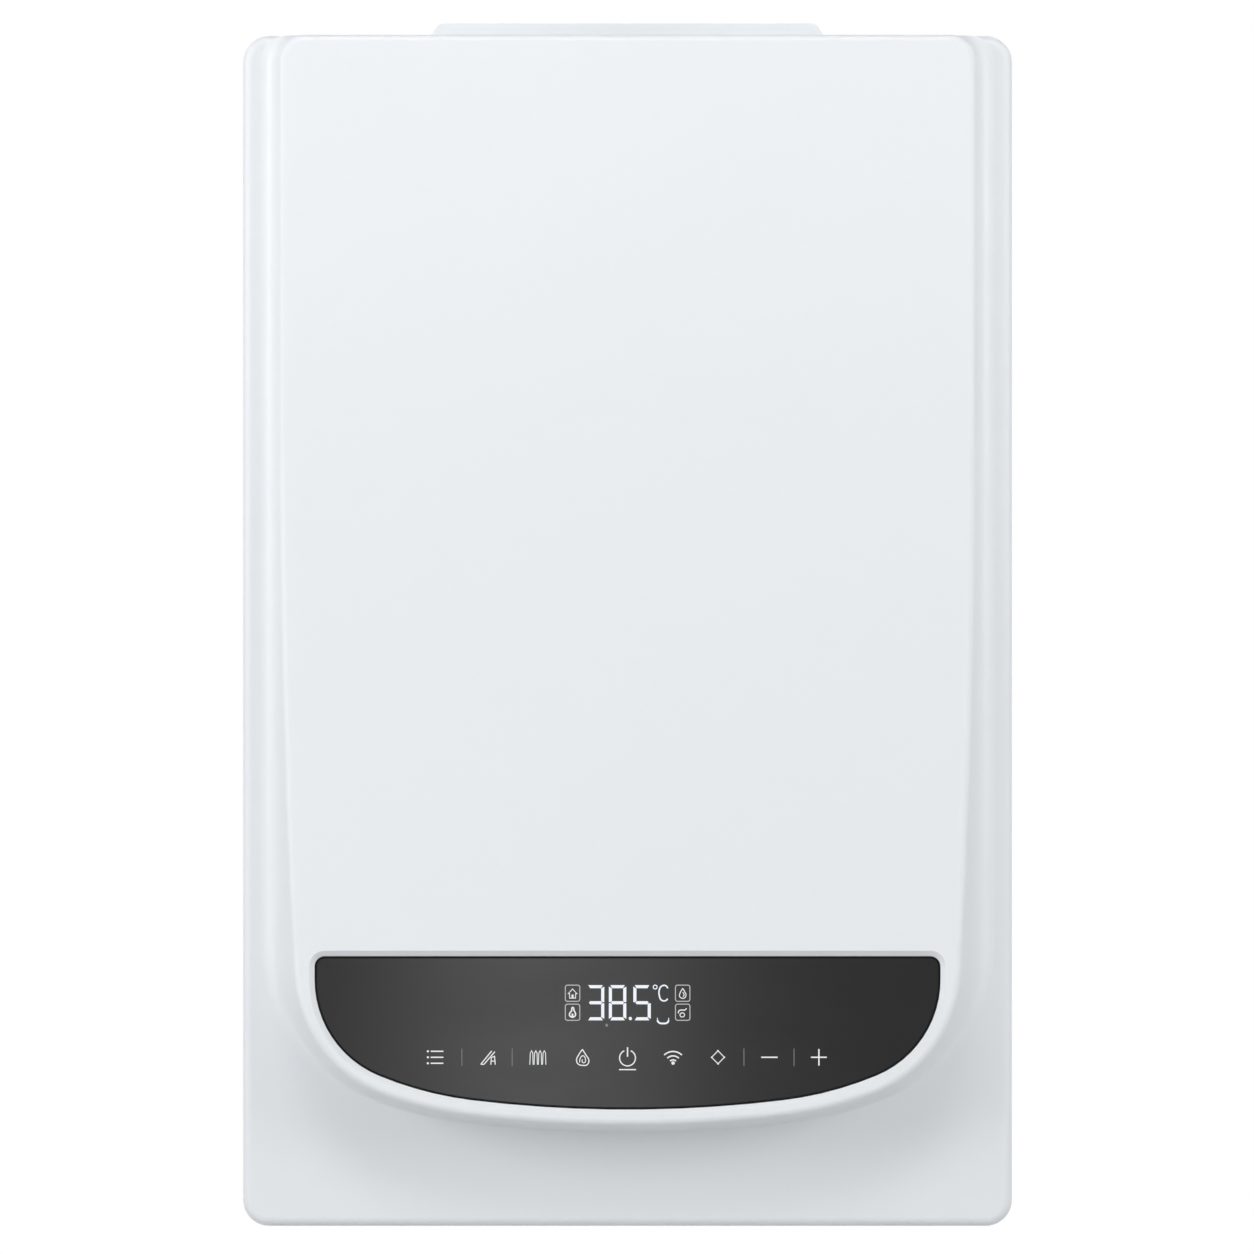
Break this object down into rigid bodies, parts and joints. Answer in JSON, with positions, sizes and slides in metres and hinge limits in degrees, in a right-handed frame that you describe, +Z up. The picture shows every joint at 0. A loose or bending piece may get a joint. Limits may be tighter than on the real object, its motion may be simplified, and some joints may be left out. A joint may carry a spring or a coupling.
{
  "type": "wall-hung gas boiler",
  "caption": "White wall-hung gas combination boiler with a swept front cover, smile-shaped dark touch panel, top flue socket and pipe connections below.",
  "frame": {"origin": "Middle between the two upper wall bolts, in the plane of the wall.", "axes": "+X to the viewer's right when facing the boiler, +Y into the wall, +Z up; the front faces -Y."},
  "size_m": [0.44, 0.2644, 0.705],
  "materials": {
    "casing_paint": "satin white powder coat on steel sheet",
    "cover_paint": "satin white powder coat on steel sheet",
    "galvanised_sheet": "zinc-coated sheet",
    "zinc_steel": "zinc-plated steel",
    "stainless_steel": "stainless sheet",
    "motor_steel": "stacked steel sheets",
    "braided_steel": "steel braid over a rubber hose",
    "copper": "bare copper, slightly dulled",
    "brass": "machined brass",
    "cast_aluminium": "die-cast aluminium",
    "pump_paint": "dark grey motor paint",
    "vessel_paint": "red paint on pressed steel",
    "black_plastic": "moulded, fine texture",
    "grey_plastic": "moulded, fine texture",
    "red_plastic": "moulded knob",
    "blue_plastic": "moulded knob",
    "circuit_board": "green board",
    "black_rubber": "foam rubber strip",
    "clear_silicone": "silicone tube",
    "red_silicone": "silicone lead",
    "white_ceramic": "ceramic with a steel pin",
    "fibre_board": "ceramic fibre board",
    "clear_glass": "heat-proof glass",
    "dark_glass": "tinted panel glass"
  },
  "bodies": {
    "casing": {"back_panel": "casing_paint", "casing_wrap": "casing_paint", "bottom_panel": "galvanised_sheet", "front_seal": "black_rubber", "cable_gland": "black_plastic", "flue_flange": "galvanised_sheet", "flue_hood": "galvanised_sheet", "fan_housing": "galvanised_sheet", "fan_motor": "motor_steel", "air_pressure_switch": "grey_plastic", "pressure_tube": "clear_silicone", "exchanger_frame": "copper", "exchanger_fins": "copper", "exchanger_tubes": "copper", "combustion_chamber": "galvanised_sheet", "chamber_front": "galvanised_sheet", "chamber_insulation": "fibre_board", "sight_glass": "clear_glass", "sheet_screws": "zinc_steel", "mounting_brackets": "galvanised_sheet", "burner_bars": "stainless_steel", "burner_frame": "galvanised_sheet", "gas_manifold": "galvanised_sheet", "gas_injectors": "brass", "gas_feed_pipe": "galvanised_sheet", "electrodes": "white_ceramic", "igniter": "black_plastic", "ignition_lead": "red_silicone", "gas_valve": "cast_aluminium", "gas_inlet_pipe": "brass", "flow_block": "brass", "valve_actuator": "black_plastic", "return_block": "brass", "plate_exchanger": "stainless_steel", "hot_outlet": "brass", "flow_sensor": "brass", "pump_volute": "black_plastic", "pump_motor": "pump_paint", "air_vent": "brass", "overheat_thermostat": "zinc_steel", "water_pipes": "copper", "relief_valve": "brass", "filling_valve": "brass", "expansion_vessel": "vessel_paint", "vessel_hose": "braided_steel", "control_box": "grey_plastic", "control_lid": "grey_plastic", "main_board": "circuit_board"},
    "cover": {"front_cover": "cover_paint", "cover_catches": "black_plastic", "cover_screws": "zinc_steel", "control_glass": "dark_glass", "control_housing": "black_plastic", "display_board": "circuit_board"},
    "fan_rotor": {"fan_impeller": "galvanised_sheet"},
    "pump_wheel": {"pump_rotor": "stainless_steel"},
    "turbine": {"flow_turbine": "grey_plastic"},
    "spindle": {"valve_spindle": "stainless_steel"},
    "filling_tap": {"filling_knob": "blue_plastic"},
    "relief_tap": {"relief_knob": "red_plastic"}
  },
  "joints": [
    {"name": "cover_pull", "type": "slide", "parent": "casing", "child": "cover", "axis": [0, -1, 0], "range_m": [0, 0.3]},
    {"name": "fan_spin", "type": "hinge", "parent": "casing", "child": "fan_rotor", "pos_m": [-0.03, -0.09, -0.12], "axis": [0, 1, 0], "continuous": true},
    {"name": "pump_spin", "type": "hinge", "parent": "casing", "child": "pump_wheel", "pos_m": [0.154, -0.1, -0.5095], "axis": [0, 1, 0], "continuous": true},
    {"name": "turbine_spin", "type": "hinge", "parent": "casing", "child": "turbine", "pos_m": [0.08, -0.085, -0.6442], "axis": [0, 0, 1], "continuous": true},
    {"name": "spindle_slide", "type": "slide", "parent": "casing", "child": "spindle", "axis": [0, 0, 1], "range_m": [0, 0.008]},
    {"name": "filling_turn", "type": "hinge", "parent": "casing", "child": "filling_tap", "pos_m": [0.12, -0.127, -0.667], "axis": [0, 0, 1], "range_deg": [0, 180]},
    {"name": "relief_turn", "type": "hinge", "parent": "casing", "child": "relief_tap", "pos_m": [0.154, -0.147, -0.5935], "axis": [0, 1, 0], "range_deg": [0, 90]}
  ]
}
